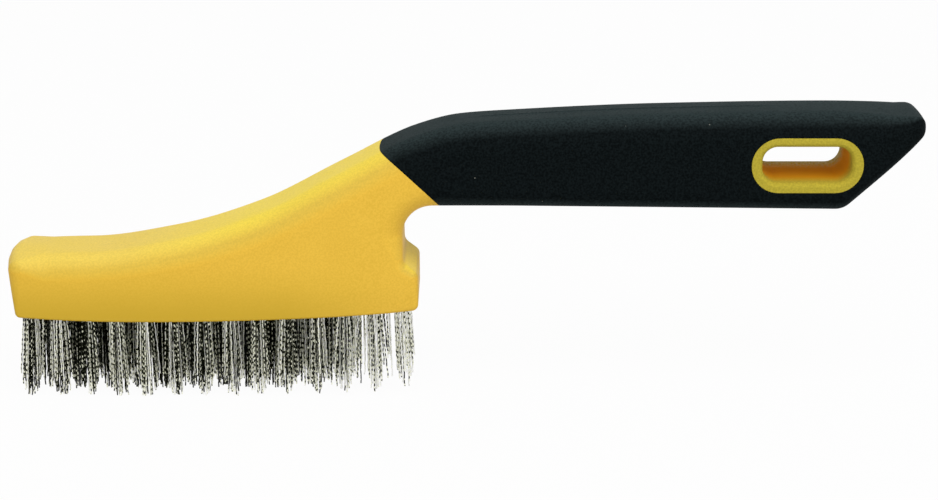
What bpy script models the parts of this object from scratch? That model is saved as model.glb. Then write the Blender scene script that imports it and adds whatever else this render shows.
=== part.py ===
"""Scratch brush: a moulded body with a raised handle and a hanging eyelet, a soft grip sleeve
moulded over the handle, and four rows of crimped steel wire tufts in blind holes.

X runs along the brush from the toe to the tail, Y across it and Z up. The origin is on the
ground under the middle of the length, and the longest wires stand on the ground."""

import math
import random

import bmesh
import bpy
from mathutils import Matrix, Vector
from mathutils.geometry import interpolate_bezier

# Overall sizes, in metres
OVERALL_LENGTH = 0.2610
HEAD_LENGTH = 0.1180
HEAD_WIDTH = 0.0280
HANDLE_WIDTH = 0.0245

# Head: the block that holds the wires. Rises are above the lowest line of its underside.
WIRE_REACH = 0.02365
TOE_THICKNESS = 0.0197
UNDERSIDE_LOW_POINT = 0.0391
UNDERSIDE_TOE_RISE = 0.0016
UNDERSIDE_HEEL_RISE = 0.0033
TOE_LEAN = 0.0011
TOE_TOP_RADIUS = 0.0036
TOE_FOOT_RADIUS = 0.0015
TOE_BOW = 0.0020
TOE_BOW_REACH = 0.0220
SIDE_DRAFT = 0.0010
SIDE_DRAFT_RISE = 0.0109
HEEL_FOOT_RADIUS = 0.0020
HEEL_LIP_RADIUS = 0.0026
HEEL_LIP_RISE = 0.0143

# Finger notch between the heel and the handle
NOTCH_DEPTH = 0.0043
NOTCH_FOOT_RISE = 0.0181
NOTCH_FOOT_RADIUS = 0.0030
NOTCH_ROOF_RADIUS = 0.0084

# Handle: its underside's height above the ground, its depth at the crown of its back, and how
# far its back and its underside fall away from there
HANDLE_UNDERSIDE_HEIGHT = 0.0573
HANDLE_DEPTH = 0.0272
HANDLE_CROWN_FROM_TAIL = 0.0265
SHOULDER_BEHIND_HEEL = 0.0239
SHOULDER_DROP = 0.0028
MIDDLE_DROP = 0.0007
TAIL_DROP = 0.0009
UNDERSIDE_TAIL_DROP = 0.0007
NOSE_RADIUS = 0.0035
NOSE_LEAN = math.radians(8)
CHIN_RISE_SHARE = 0.852
CHIN_RADIUS = 0.0033
TAIL_CORNER_RADIUS = 0.0060
TAIL_ANGLE = math.radians(43.8)
TAPER_BEFORE_HEEL = 0.0315
TAPER_BEHIND_HEEL = 0.0285
TAIL_ROUNDING = 0.0140
TAIL_NARROWING_SHARE = 0.45

# Neck: the line of the back between the flat of the head and the shoulder of the handle, as
# shares of the neck's length and of its rise
NECK_START = 0.0219
NECK_LINE_SHARES = (
    (0.00, 0.000),
    (0.22, 0.098),
    (0.42, 0.292),
    (0.62, 0.612),
    (0.80, 0.892),
    (0.90, 0.974),
    (1.00, 1.000),
)

# Rounding of the long edges, from the back and the underside into the two sides
TOE_EDGE = 0.0045
BACK_EDGE = 0.0070
HANDLE_EDGE = 0.0080
HANDLE_LOWER_EDGE = 0.0060
UNDERSIDE_EDGE = 0.0008
HEEL_EDGE = 0.0014
LIP_EDGE = 0.0022
NOTCH_EDGE = 0.0030
NOTCH_ROOF_EDGE = 0.0066
TAIL_EDGE = 0.0050
TIGHT_CORNER_SHARE = 0.9
EDGES_OF_DEPTH_SHARE = 0.8
NOTCH_ROOF_SHARE = 0.6
BACK_CROWN = 0.0004
TOE_DROOP = 0.0016

# Soft grip sleeve
GRIP_WALL = 0.0028
PARTING_BEHIND_HEEL = 0.0080
PARTING_ANGLE = math.radians(43.5)
PARTING_BOW = 0.0029
CORE_START_INSET = 0.0180
FIT_GAP = 0.0003

# Hanging eyelet, a ring of the body that shows on both sides of the grip
EYELET_CENTRE_FROM_TAIL = 0.0337
EYELET_LENGTH = 0.0313
EYELET_HEIGHT = 0.0158
RING_END_WALL = 0.00315
RING_SIDE_WALL = 0.00275
SLOT_CORNER_RADIUS = 0.0042
SLOT_LIP_RADIUS = 0.0018

# Wire tufts: every second row stands half a pitch further on and has one tuft less
TUFT_ROWS = 4
TUFTS_PER_ROW = 14
TOE_MARGIN = 0.0067
HEEL_MARGIN = 0.0047
SIDE_MARGIN = 0.0046
HOLE_RADIUS = 0.0023
HOLE_DEPTH = 0.0100
ROOT_RECESS = 0.0003
STRANDS_AROUND = 6
STRAND_RADIUS = 0.00042
STRAND_RING_RADIUS = 0.00138
STRAND_EMBED = 0.0006
STRAND_CRIMP = 0.00025
TIP_SCATTER = 0.0030
TIP_TRIM = 0.0005
TIP_FLARE_SHARE = 1.35
KINK_SHARE = 0.5
RANDOM_SEED = 7

# Fineness of the mesh
ARC_STEPS = 5
NECK_STEPS = 3
EDGE_STEPS = 4
ACROSS_STEPS = 4
TAPER_CUTS = 7
TAIL_CUTS = 5
PARTING_STEPS = 6
EYELET_STEPS = 5
LIP_STEPS = 3
HOLE_SIDES = 8
CUT_OVERRUN = 0.0040
ROUND_END_FLAT = 0.0001
SAME_PLACE = 0.00005

# Places worked out from the sizes above
HANDLE_CROWN_HEIGHT = HANDLE_UNDERSIDE_HEIGHT + HANDLE_DEPTH
SHOULDER_HEIGHT = HANDLE_CROWN_HEIGHT - SHOULDER_DROP
SHOULDER_DISTANCE = HEAD_LENGTH + SHOULDER_BEHIND_HEEL
TAIL_TOP_HEIGHT = HANDLE_CROWN_HEIGHT - TAIL_DROP
TAIL_UNDERSIDE_HEIGHT = HANDLE_UNDERSIDE_HEIGHT - UNDERSIDE_TAIL_DROP
EYELET_CENTRE_HEIGHT = (TAIL_TOP_HEIGHT + TAIL_UNDERSIDE_HEIGHT) / 2
TAPER_START = HEAD_LENGTH - TAPER_BEFORE_HEEL
TAPER_END = HEAD_LENGTH + TAPER_BEHIND_HEEL
PARTING_FOOT = HEAD_LENGTH + PARTING_BEHIND_HEEL

YELLOW = (0.80, 0.47, 0.05, 1.0)
BLACK = (0.012, 0.016, 0.018, 1.0)
STEEL = (0.32, 0.32, 0.29, 1.0)

COLLECTION_NAME = "scratch_brush"
CUTTER_COLLECTION_NAME = "scratch_brush_cutters"


def blend(first, second, share):
    return first + (second - first) * share


def eased(share):
    share = min(max(share, 0), 1)
    return share * share * (3 - 2 * share)


def remove_everything():
    for item in list(bpy.data.objects):
        bpy.data.objects.remove(item, do_unlink=True)


def new_collection(name):
    collection = bpy.data.collections.new(name)
    bpy.context.scene.collection.children.link(collection)
    return collection


def new_material(name, colour, roughness, metallic):
    material = bpy.data.materials.new(name)
    material.use_nodes = True
    shader = material.node_tree.nodes["Principled BSDF"]
    shader.inputs["Base Color"].default_value = colour
    shader.inputs["Roughness"].default_value = roughness
    shader.inputs["Metallic"].default_value = metallic
    material.diffuse_color = colour
    return material


def new_object(name, mesh_builder, collection, material=None):
    mesh = bpy.data.meshes.new(name)
    bmesh.ops.recalc_face_normals(mesh_builder, faces=mesh_builder.faces)
    mesh_builder.to_mesh(mesh)
    mesh_builder.free()
    item = bpy.data.objects.new(name, mesh)
    collection.objects.link(item)
    if material:
        mesh.materials.append(material)
        mesh.shade_smooth()
        mesh.set_sharp_from_angle(angle=math.radians(40))
    return item


def as_cutter(item):
    item.hide_render = True
    item.display_type = "WIRE"
    return item


def add_boolean(item, operation, tool):
    modifier = item.modifiers.new(operation.lower() + "_" + tool.name, "BOOLEAN")
    modifier.operation = operation
    modifier.solver = "EXACT"
    modifier.object = tool


def along(distance):
    """X of a point at this distance from the toe."""
    return distance - OVERALL_LENGTH / 2


def underside(distance):
    """Height of the head's underside, which is rounded gently from toe to heel."""
    if distance < UNDERSIDE_LOW_POINT:
        share = 1 - distance / UNDERSIDE_LOW_POINT
        return WIRE_REACH + UNDERSIDE_TOE_RISE * share * share
    share = (distance - UNDERSIDE_LOW_POINT) / (HEAD_LENGTH - UNDERSIDE_LOW_POINT)
    return WIRE_REACH + UNDERSIDE_HEEL_RISE * share * share


def overshoot(radius, inner_angle):
    """How far a sharp corner would pass the furthest point of the arc that rounds it."""
    return radius / math.tan(inner_angle / 2) - radius


def steady_slope(before, after):
    """The slope at a knot between two stretches of these slopes, with no rise past the knots."""
    if before * after <= 0:
        return 0
    return 2 * before * after / (before + after)


def smooth_line(knots, steps):
    """Points of a smooth curve through knots of (distance, height, edge radius)."""
    knots = [Vector(knot) for knot in knots]
    runs = [(end - start) / (end.x - start.x) for start, end in zip(knots, knots[1:])]
    slopes = [runs[0]]
    for before, after in zip(runs, runs[1:]):
        slopes.append(Vector([steady_slope(*pair) for pair in zip(before, after)]))
    slopes.append(runs[-1])
    points = []
    for index in range(len(knots) - 1):
        start, end = knots[index], knots[index + 1]
        third = (end.x - start.x) / 3
        handles = (start + slopes[index] * third, end - slopes[index + 1] * third)
        points += interpolate_bezier(start, *handles, end, steps + 1)[:-1]
    points.append(knots[-1])
    return points


def rounded_corner(before, corner, after, radius, steps):
    """The arc that rounds a corner of an outline. It keeps the corner's edge radius."""
    place = corner.xy
    back = (before.xy - place).normalized()
    ahead = (after.xy - place).normalized()
    half_angle = back.angle(ahead) / 2
    reach = radius / math.tan(half_angle)
    centre = place + (back + ahead).normalized() * (radius / math.sin(half_angle))
    first = (place + back * reach - centre).normalized()
    last = (place + ahead * reach - centre).normalized()
    arc = []
    for step in range(steps + 1):
        point = centre + first.slerp(last, step / steps) * radius
        arc.append(Vector((point.x, point.y, corner.z)))
    return arc


def rounded_outline(corners):
    """Points of a closed outline. Each corner is (distance, height, edge radius), the radius
    that rounds it in the side view, and the steps of that arc."""
    places = [Vector(place) for place, radius, steps in corners]
    points = []
    for index, (place, radius, steps) in enumerate(corners):
        if radius:
            before = places[index - 1]
            after = places[(index + 1) % len(places)]
            points += rounded_corner(before, places[index], after, radius, steps)
        else:
            points.append(places[index])
    return points


def handle_edge(edge, inset):
    """An edge radius of the handle, limited by the handle's depth and drawn in by the inset."""
    most = EDGES_OF_DEPTH_SHARE * (SHOULDER_HEIGHT - HANDLE_UNDERSIDE_HEIGHT)
    share = min(1, most / (HANDLE_EDGE + HANDLE_LOWER_EDGE))
    return max(edge * share - inset, FIT_GAP)


def head_corners():
    """Corners of the head and the finger notch, from the toe's foot to the notch's roof."""
    heel_foot = underside(HEAD_LENGTH)
    notch_wall = HEAD_LENGTH - NOTCH_DEPTH
    heel_edge = min(HEEL_EDGE, TIGHT_CORNER_SHARE * HEEL_FOOT_RADIUS)
    lip_edge = min(LIP_EDGE, TIGHT_CORNER_SHARE * HEEL_LIP_RADIUS)
    toe_edge = min(UNDERSIDE_EDGE, TIGHT_CORNER_SHARE * TOE_FOOT_RADIUS)
    corners = [((TOE_LEAN, underside(TOE_LEAN), toe_edge), TOE_FOOT_RADIUS, ARC_STEPS)]
    for line in range(TUFTS_PER_ROW - 1):
        between = tuft_distance(line + 1 / 2)
        corners.append(((between, underside(between), UNDERSIDE_EDGE), 0, 0))
    lip = WIRE_REACH + HEEL_LIP_RISE
    notch_foot = WIRE_REACH + NOTCH_FOOT_RISE
    corners.append(((HEAD_LENGTH, heel_foot, heel_edge), HEEL_FOOT_RADIUS, ARC_STEPS))
    corners.append(((HEAD_LENGTH, lip, lip_edge), HEEL_LIP_RADIUS, ARC_STEPS))
    corners.append(((notch_wall, notch_foot, NOTCH_EDGE), NOTCH_FOOT_RADIUS, ARC_STEPS))
    roof_most = NOTCH_ROOF_SHARE * (HANDLE_UNDERSIDE_HEIGHT - notch_foot)
    roof_radius = min(NOTCH_ROOF_RADIUS, roof_most)
    roof_edge = min(NOTCH_ROOF_EDGE, TIGHT_CORNER_SHARE * roof_radius)
    roof = (notch_wall, HANDLE_UNDERSIDE_HEIGHT, roof_edge)
    corners.append((roof, roof_radius, ARC_STEPS))
    return corners


def tail_corners(inset):
    """Corners of the handle's tail drawn in by the inset: its foot, its chin and its nose. The
    slope under the chin and the face of the nose both touch the circle that rounds the chin."""
    chin_height = blend(TAIL_UNDERSIDE_HEIGHT, TAIL_TOP_HEIGHT, CHIN_RISE_SHARE)
    chin = Vector((OVERALL_LENGTH - CHIN_RADIUS, chin_height))
    slope_normal = Vector((math.sin(TAIL_ANGLE), -math.cos(TAIL_ANGLE)))
    nose_normal = Vector((math.cos(NOSE_LEAN), math.sin(NOSE_LEAN)))
    both = (slope_normal + nose_normal) / (1 + slope_normal.dot(nose_normal))
    corner = chin + both * (CHIN_RADIUS - inset)
    foot = TAIL_UNDERSIDE_HEIGHT + inset
    foot_place = corner.x + (foot - corner.y) / math.tan(TAIL_ANGLE)
    top = TAIL_TOP_HEIGHT - inset
    top_place = corner.x - (top - corner.y) * math.tan(NOSE_LEAN)
    tail = []
    for place, height, radius in (
        (foot_place, foot, TAIL_CORNER_RADIUS),
        (corner.x, corner.y, CHIN_RADIUS),
        (top_place, top, NOSE_RADIUS),
    ):
        radius = max(radius - inset, FIT_GAP)
        edge = min(handle_edge(TAIL_EDGE, inset), TIGHT_CORNER_SHARE * radius)
        tail.append(((place, height, edge), radius, ARC_STEPS))
    return tail


def back_line():
    """Points along the back from the tail to the toe."""
    toe_top = WIRE_REACH + TOE_THICKNESS
    knots = [(TOE_TOP_RADIUS * 3, toe_top, BACK_EDGE)]
    for length_share, rise_share in NECK_LINE_SHARES:
        distance = blend(NECK_START, SHOULDER_DISTANCE, length_share)
        height = blend(toe_top, SHOULDER_HEIGHT, rise_share)
        edge = blend(BACK_EDGE, handle_edge(HANDLE_EDGE, 0), length_share)
        knots.append((distance, height, edge))
    nose_start = OVERALL_LENGTH - NOSE_RADIUS * 2
    crown = OVERALL_LENGTH - HANDLE_CROWN_FROM_TAIL
    middle = (SHOULDER_DISTANCE + crown) / 2
    edge = handle_edge(HANDLE_EDGE, 0)
    knots.append((middle, HANDLE_CROWN_HEIGHT - MIDDLE_DROP, edge))
    knots.append((crown, HANDLE_CROWN_HEIGHT, edge))
    knots.append((nose_start, TAIL_TOP_HEIGHT, handle_edge(TAIL_EDGE, 0)))
    return list(reversed(smooth_line(knots, NECK_STEPS)))


def brush_outline():
    """The side view of the whole brush, head and handle."""
    toe_top = WIRE_REACH + TOE_THICKNESS
    lean_angle = math.atan(TOE_LEAN / TOE_THICKNESS)
    toe_reach = overshoot(TOE_TOP_RADIUS, math.pi / 2 - lean_angle)
    toe_edge = min(TOE_EDGE, TIGHT_CORNER_SHARE * TOE_TOP_RADIUS)
    corners = head_corners()
    lower_edge = handle_edge(HANDLE_LOWER_EDGE, 0)
    corners.append(((TAPER_END, HANDLE_UNDERSIDE_HEIGHT, lower_edge), 0, 0))
    corners += tail_corners(0)
    corners += [(point, 0, 0) for point in back_line()]
    corners.append(((-toe_reach, toe_top, toe_edge), TOE_TOP_RADIUS, ARC_STEPS))
    return rounded_outline(corners)


def inward_normals(outline):
    """For each point of an outline, the step that moves both its sides inwards by one."""
    steps = []
    for index, point in enumerate(outline):
        back = (point.xy - outline[index - 1].xy).normalized()
        ahead = (outline[(index + 1) % len(outline)].xy - point.xy).normalized()
        tangent = (back + ahead).normalized()
        steps.append(Vector((-tangent.y, tangent.x)) / tangent.dot(ahead))
    return steps


def lofted(rings):
    """A closed solid through rings of points, with flat faces on the first and the last."""
    builder = bmesh.new()
    rings = [[builder.verts.new(point) for point in ring] for ring in rings]
    for first, second in zip(rings, rings[1:]):
        for index in range(len(first)):
            after = (index + 1) % len(first)
            builder.faces.new((first[index], first[after], second[after], second[index]))
    builder.faces.new(rings[0])
    builder.faces.new(rings[-1])
    return builder


def edge_rounded_plate(outline, width):
    """A plate of this outline, whose long edges are rounded by each point's edge radius."""
    normals = inward_normals(outline)
    stations = [(-1, math.pi / 2 * step / EDGE_STEPS) for step in range(EDGE_STEPS, 0, -1)]
    stations += [(2 * step / ACROSS_STEPS - 1, 0) for step in range(ACROSS_STEPS + 1)]
    stations += [(1, math.pi / 2 * step / EDGE_STEPS) for step in range(1, EDGE_STEPS + 1)]
    rings = []
    for across, turn in stations:
        ring = []
        for point, normal in zip(outline, normals):
            place = point.xy + normal * (point.z * (1 - math.cos(turn)))
            depth = across * (width / 2 - point.z * (1 - math.sin(turn)))
            ring.append((along(place.x), depth, place.y))
        rings.append(ring)
    return lofted(rings)


def bow_and_crown(builder):
    """Bows the toe outwards and crowns the back a little, both highest along the middle."""
    middle = WIRE_REACH + TOE_THICKNESS / 2
    for vertex in builder.verts:
        across = (2 * vertex.co.y / HEAD_WIDTH) ** 2
        near_toe = eased(1 - (vertex.co.x + OVERALL_LENGTH / 2) / TOE_BOW_REACH)
        near_back = eased((vertex.co.z - middle) / (TOE_THICKNESS / 2))
        vertex.co.x += TOE_BOW * across * near_toe
        vertex.co.z -= (BACK_CROWN + TOE_DROOP * near_toe) * across * near_back


def draw_in_lower_sides(builder):
    """Leans the lower part of the head's sides inwards, down to the underside."""
    top = WIRE_REACH + SIDE_DRAFT_RISE
    everything = builder.verts[:] + builder.edges[:] + builder.faces[:]
    bmesh.ops.bisect_plane(
        builder, geom=everything, dist=SAME_PLACE, plane_co=(0, 0, top), plane_no=(0, 0, 1)
    )
    for vertex in builder.verts:
        share = max(top - vertex.co.z, 0) / SIDE_DRAFT_RISE
        vertex.co.y *= 1 - share * 2 * SIDE_DRAFT / HEAD_WIDTH


def cut_across(builder, distance):
    """Adds a line of edges round the solid at this distance from the toe."""
    everything = builder.verts[:] + builder.edges[:] + builder.faces[:]
    bmesh.ops.bisect_plane(
        builder,
        geom=everything,
        dist=SAME_PLACE,
        plane_co=(along(distance), 0, 0),
        plane_no=(1, 0, 0),
    )


def round_tail(builder):
    """Rounds the tail as seen from above, by drawing its sides in towards the end."""
    start = OVERALL_LENGTH - TAIL_ROUNDING
    for cut in range(TAIL_CUTS):
        cut_across(builder, start + TAIL_ROUNDING * math.sin(math.pi / 2 * cut / TAIL_CUTS))
    for vertex in builder.verts:
        share = (vertex.co.x + OVERALL_LENGTH / 2 - start) / TAIL_ROUNDING
        share = min(max(share, 0), 1)
        vertex.co.y *= 1 - TAIL_NARROWING_SHARE * (1 - math.sqrt(1 - share * share))


def taper_width(builder):
    """Draws the sides in from the head's width to the handle's width, along the neck."""
    for cut in range(TAPER_CUTS + 1):
        cut_across(builder, blend(TAPER_START, TAPER_END, cut / TAPER_CUTS))
    for vertex in builder.verts:
        distance = vertex.co.x + OVERALL_LENGTH / 2
        share = eased((distance - TAPER_START) / (TAPER_END - TAPER_START))
        vertex.co.y *= blend(1, HANDLE_WIDTH / HEAD_WIDTH, share)


def brush_envelope(name, collection, material=None):
    """The outer form of the whole brush without its wires."""
    builder = edge_rounded_plate(brush_outline(), HEAD_WIDTH)
    bow_and_crown(builder)
    draw_in_lower_sides(builder)
    taper_width(builder)
    round_tail(builder)
    return new_object(name, builder, collection, material)


def core_solid(name, inset, collection):
    """The handle's core, which lies this far inside the grip's outer surface."""
    back = [point for point in back_line() if point.x > PARTING_FOOT - CORE_START_INSET]
    normals = inward_normals(back)
    foot = HANDLE_UNDERSIDE_HEIGHT + inset
    corners = [((back[-1].x, foot, handle_edge(HANDLE_LOWER_EDGE, inset)), 0, 0)]
    corners += tail_corners(inset)
    for point, normal in zip(back, normals):
        if point is back[0] or point is back[-1]:
            normal = Vector((0, -1))
        place = point.xy + normal * inset
        corners.append(((place.x, place.y, max(point.z - inset, FIT_GAP)), 0, 0))
    builder = edge_rounded_plate(rounded_outline(corners), HANDLE_WIDTH - 2 * inset)
    round_tail(builder)
    return new_object(name, builder, collection)


def rounded_window(length, height, corner_radius):
    """Points of a rounded rectangle around the eyelet's middle, as (distance, height)."""
    centre = OVERALL_LENGTH - EYELET_CENTRE_FROM_TAIL
    corners = []
    for end, side in ((-1, -1), (1, -1), (1, 1), (-1, 1)):
        place = (centre + end * length / 2, EYELET_CENTRE_HEIGHT + side * height / 2, 0)
        corners.append((place, corner_radius, EYELET_STEPS))
    return rounded_outline(corners)


def window_column(name, sections, collection):
    """A column across the handle, lofted through sections of (place across the handle,
    length, height, corner radius)."""
    rings = []
    for across, length, height, corner_radius in sections:
        window = rounded_window(length, height, corner_radius)
        rings.append([(along(point.x), across, point.y) for point in window])
    return new_object(name, lofted(rings), collection)


def eyelet_column(name, growth, collection):
    """The outside of the eyelet ring, wider all round by the growth. Its ends are round."""
    reach = HANDLE_WIDTH / 2 + CUT_OVERRUN
    length = EYELET_LENGTH + 2 * growth
    height = EYELET_HEIGHT + 2 * growth
    section = (length, height, height / 2 - ROUND_END_FLAT)
    return window_column(name, [(-reach, *section), (reach, *section)], collection)


def slot_column(name, collection):
    """The slot through the eyelet, which opens out at both faces with rounded lips."""
    face = HANDLE_WIDTH / 2
    lip_radius = min(SLOT_LIP_RADIUS, TIGHT_CORNER_SHARE * min(RING_END_WALL, RING_SIDE_WALL))
    lips = []
    for step in range(LIP_STEPS + 1):
        turn = math.pi / 2 * step / LIP_STEPS
        growth = lip_radius * (1 - math.cos(turn))
        lips.append((face + FIT_GAP - lip_radius * (1 - math.sin(turn)), growth))
    lips.append((face + CUT_OVERRUN, lip_radius))
    lips = [(-across, growth) for across, growth in reversed(lips)] + lips
    length = EYELET_LENGTH - 2 * RING_END_WALL
    height = EYELET_HEIGHT - 2 * RING_SIDE_WALL
    corner = min(SLOT_CORNER_RADIUS, TIGHT_CORNER_SHARE * height / 2)
    sections = []
    for across, growth in lips:
        sections.append((across, length + 2 * growth, height + 2 * growth, corner + growth))
    return window_column(name, sections, collection)


def parting_block(name, towards_tail, shift, collection):
    """A block on the tail's side or the head's side of the slanted face where the grip meets
    the neck, moved square to that face by the shift. The face bows towards the toe along the
    middle of the brush."""
    foot = Vector((PARTING_FOOT, HANDLE_UNDERSIDE_HEIGHT))
    foot += Vector((math.sin(PARTING_ANGLE), math.cos(PARTING_ANGLE))) * shift
    slant = Vector((math.cos(PARTING_ANGLE), -math.sin(PARTING_ANGLE))) * OVERALL_LENGTH / 2
    far = Vector((OVERALL_LENGTH if towards_tail else -OVERALL_LENGTH, 0))
    corners = (foot + slant, foot - slant, foot - slant + far, foot + slant + far)
    stations = [(2 * step / PARTING_STEPS - 1, 0) for step in range(PARTING_STEPS + 1)]
    stations = [(-1, CUT_OVERRUN), *stations, (1, CUT_OVERRUN)]
    rings = []
    for share, overrun in stations:
        bow = PARTING_BOW * (1 - share * share)
        across = share * (HEAD_WIDTH / 2 + overrun)
        rings.append([(along(point.x) - bow, across, point.y) for point in corners])
    return new_object(name, lofted(rings), collection)


def tuft_distance(line):
    """Distance from the toe to the middle of a line of tufts across the head."""
    pitch = (HEAD_LENGTH - TOE_MARGIN - HEEL_MARGIN) / (TUFTS_PER_ROW - 1)
    return TOE_MARGIN + pitch * line


def tuft_places():
    """For each tuft, its row, its line, and the middle of its hole's mouth."""
    row_pitch = (HEAD_WIDTH - 2 * SIDE_MARGIN) / (TUFT_ROWS - 1)
    for row in range(TUFT_ROWS):
        across = SIDE_MARGIN - HEAD_WIDTH / 2 + row_pitch * row
        stagger = row % 2
        for line in range(TUFTS_PER_ROW - stagger):
            distance = tuft_distance(line + stagger / 2)
            yield row, line, Vector((along(distance), across, underside(distance)))


def add_cylinder(builder, radius, foot, top, sides):
    """An upright cylinder between two points, one above the other."""
    made = bmesh.ops.create_cone(
        builder,
        cap_ends=True,
        segments=sides,
        radius1=radius,
        radius2=radius,
        depth=top.z - foot.z,
        matrix=Matrix.Translation((foot + top) / 2),
    )
    return made["verts"]


def tuft_holes(name, collection):
    """All the blind holes in the head's underside."""
    builder = bmesh.new()
    for row, line, mouth in tuft_places():
        foot = mouth - Vector((0, 0, CUT_OVERRUN))
        top = mouth + Vector((0, 0, HOLE_DEPTH))
        add_cylinder(builder, HOLE_RADIUS, foot, top, HOLE_SIDES)
    return new_object(name, builder, collection)


def strand_rings(mouth, seat, turn, tip_height):
    """Centres of a strand's three sections: in the root, at its kink and at its tip."""
    start = mouth.z + ROOT_RECESS + STRAND_EMBED
    kink = blend(mouth.z, tip_height, KINK_SHARE)
    bend = Vector((math.cos(turn), math.sin(turn))) * STRAND_CRIMP
    middle = seat * blend(1, TIP_FLARE_SHARE, KINK_SHARE) + bend
    spread = seat * TIP_FLARE_SHARE
    for place, height in ((seat, start), (middle, kink), (spread, tip_height)):
        yield Vector((mouth.x + place.x, mouth.y + place.y, height))


def add_strand(builder, centres):
    """A wire of three sides through these centres, closed at both ends."""
    rings = []
    for centre in centres:
        made = bmesh.ops.create_circle(
            builder, segments=3, radius=STRAND_RADIUS, matrix=Matrix.Translation(centre)
        )
        rings.append(made["verts"])
    for first, second in zip(rings, rings[1:]):
        for index in range(3):
            after = (index + 1) % 3
            builder.faces.new((first[index], first[after], second[after], second[index]))
    builder.faces.new(rings[0])
    builder.faces.new(rings[-1])


def wire_tuft(row, line, mouth, chance, collection, cutters, material):
    """One tuft: the packed root that fills its hole, and the wires that spread from it. Wires
    that would pass the ground are trimmed flat there."""
    name = "tuft_r{}_{:02d}".format(row + 1, line + 1)
    root = bmesh.new()
    foot = mouth + Vector((0, 0, ROOT_RECESS))
    top = mouth + Vector((0, 0, HOLE_DEPTH - FIT_GAP))
    add_cylinder(root, HOLE_RADIUS - FIT_GAP, foot, top, HOLE_SIDES)
    wires = bmesh.new()
    tuft_turn = chance.uniform(0, math.pi)
    crimp_turn = chance.uniform(0, math.pi * 2)
    seats = [Vector((0, 0))]
    for strand in range(STRANDS_AROUND):
        turn = tuft_turn + math.pi * 2 * strand / STRANDS_AROUND
        seats.append(Vector((math.cos(turn), math.sin(turn))) * STRAND_RING_RADIUS)
    for seat in seats:
        tip = mouth.z - WIRE_REACH - TIP_TRIM + chance.uniform(0, TIP_SCATTER)
        add_strand(wires, strand_rings(mouth, seat, crimp_turn, max(tip, 0)))
    strands = as_cutter(new_object(name + "_wires", wires, cutters))
    tuft = new_object(name, root, collection, material)
    add_boolean(tuft, "UNION", strands)
    return tuft


def build_body(parts, cutters, material, holes):
    """The body is the whole envelope less the space that the soft grip fills."""
    space = as_cutter(parting_block("grip_space", True, 0, cutters))
    add_boolean(space, "DIFFERENCE", as_cutter(core_solid("handle_core", GRIP_WALL, cutters)))
    add_boolean(space, "DIFFERENCE", as_cutter(eyelet_column("eyelet_outside", 0, cutters)))
    body = brush_envelope("brush_body", parts, material)
    add_boolean(body, "DIFFERENCE", space)
    add_boolean(body, "DIFFERENCE", as_cutter(slot_column("hanging_slot", cutters)))
    add_boolean(body, "DIFFERENCE", holes)
    return body


def build_grip(parts, cutters, material):
    """The grip is the envelope behind the parting plane less the core and the eyelet."""
    grip = brush_envelope("soft_grip", parts, material)
    front = as_cutter(parting_block("front_of_grip", False, FIT_GAP, cutters))
    add_boolean(grip, "DIFFERENCE", front)
    clearance = core_solid("core_clearance", GRIP_WALL - FIT_GAP, cutters)
    add_boolean(grip, "DIFFERENCE", as_cutter(clearance))
    opening = eyelet_column("eyelet_clearance", FIT_GAP, cutters)
    add_boolean(grip, "DIFFERENCE", as_cutter(opening))
    return grip


def main():
    remove_everything()
    chance = random.Random(RANDOM_SEED)
    parts = new_collection(COLLECTION_NAME)
    cutters = new_collection(CUTTER_COLLECTION_NAME)
    yellow = new_material("yellow_moulding", YELLOW, 0.45, 0.0)
    black = new_material("black_soft_grip", BLACK, 0.6, 0.0)
    steel = new_material("crimped_steel_wire", STEEL, 0.35, 1.0)
    holes = as_cutter(tuft_holes("tuft_holes", cutters))
    build_body(parts, cutters, yellow, holes)
    build_grip(parts, cutters, black)
    for row, line, mouth in tuft_places():
        wire_tuft(row, line, mouth, chance, parts, cutters, steel)


main()
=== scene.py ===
"""Looks of a scratch brush: the moulded body and the soft grip with fine forms, four rows of
crimped steel wires grown from the holes in the head, their finishes, and a plain stage.

X runs along the brush from the toe to the tail, Y across it and Z up, in metres, as in the
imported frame."""

import math

import bmesh
import bpy
from bpy.props import FloatProperty, FloatVectorProperty, IntProperty, PointerProperty
from bpy.types import Operator, Panel, PropertyGroup
from mathutils import Matrix, Vector
from mathutils.geometry import interpolate_bezier


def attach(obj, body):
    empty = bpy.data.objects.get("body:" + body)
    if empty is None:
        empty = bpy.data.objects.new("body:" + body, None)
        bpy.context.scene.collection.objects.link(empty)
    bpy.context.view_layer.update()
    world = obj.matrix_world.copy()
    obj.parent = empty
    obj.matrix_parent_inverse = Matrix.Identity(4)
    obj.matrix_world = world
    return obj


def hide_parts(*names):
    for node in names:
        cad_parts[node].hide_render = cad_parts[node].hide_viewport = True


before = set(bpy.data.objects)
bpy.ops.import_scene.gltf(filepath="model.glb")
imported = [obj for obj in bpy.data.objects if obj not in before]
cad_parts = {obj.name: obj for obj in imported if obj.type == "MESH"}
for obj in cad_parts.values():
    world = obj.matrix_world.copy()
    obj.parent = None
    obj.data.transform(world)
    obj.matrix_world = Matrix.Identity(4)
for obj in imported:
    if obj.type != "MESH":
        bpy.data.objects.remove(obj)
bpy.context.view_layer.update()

bl_info = {
    "name": "Scratch brush looks",
    "version": (1, 0, 0),
    "blender": (4, 5, 0),
    "location": "View3D > Sidebar > Scratch brush",
    "description": "Fine forms, crimped wires, finishes and a plain stage for a scratch brush",
    "category": "Object",
}

# Overall sizes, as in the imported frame
BRUSH_LENGTH = 0.261
HEAD_LENGTH = 0.118
HEAD_WIDTH = 0.028
HANDLE_WIDTH = 0.0245

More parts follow.
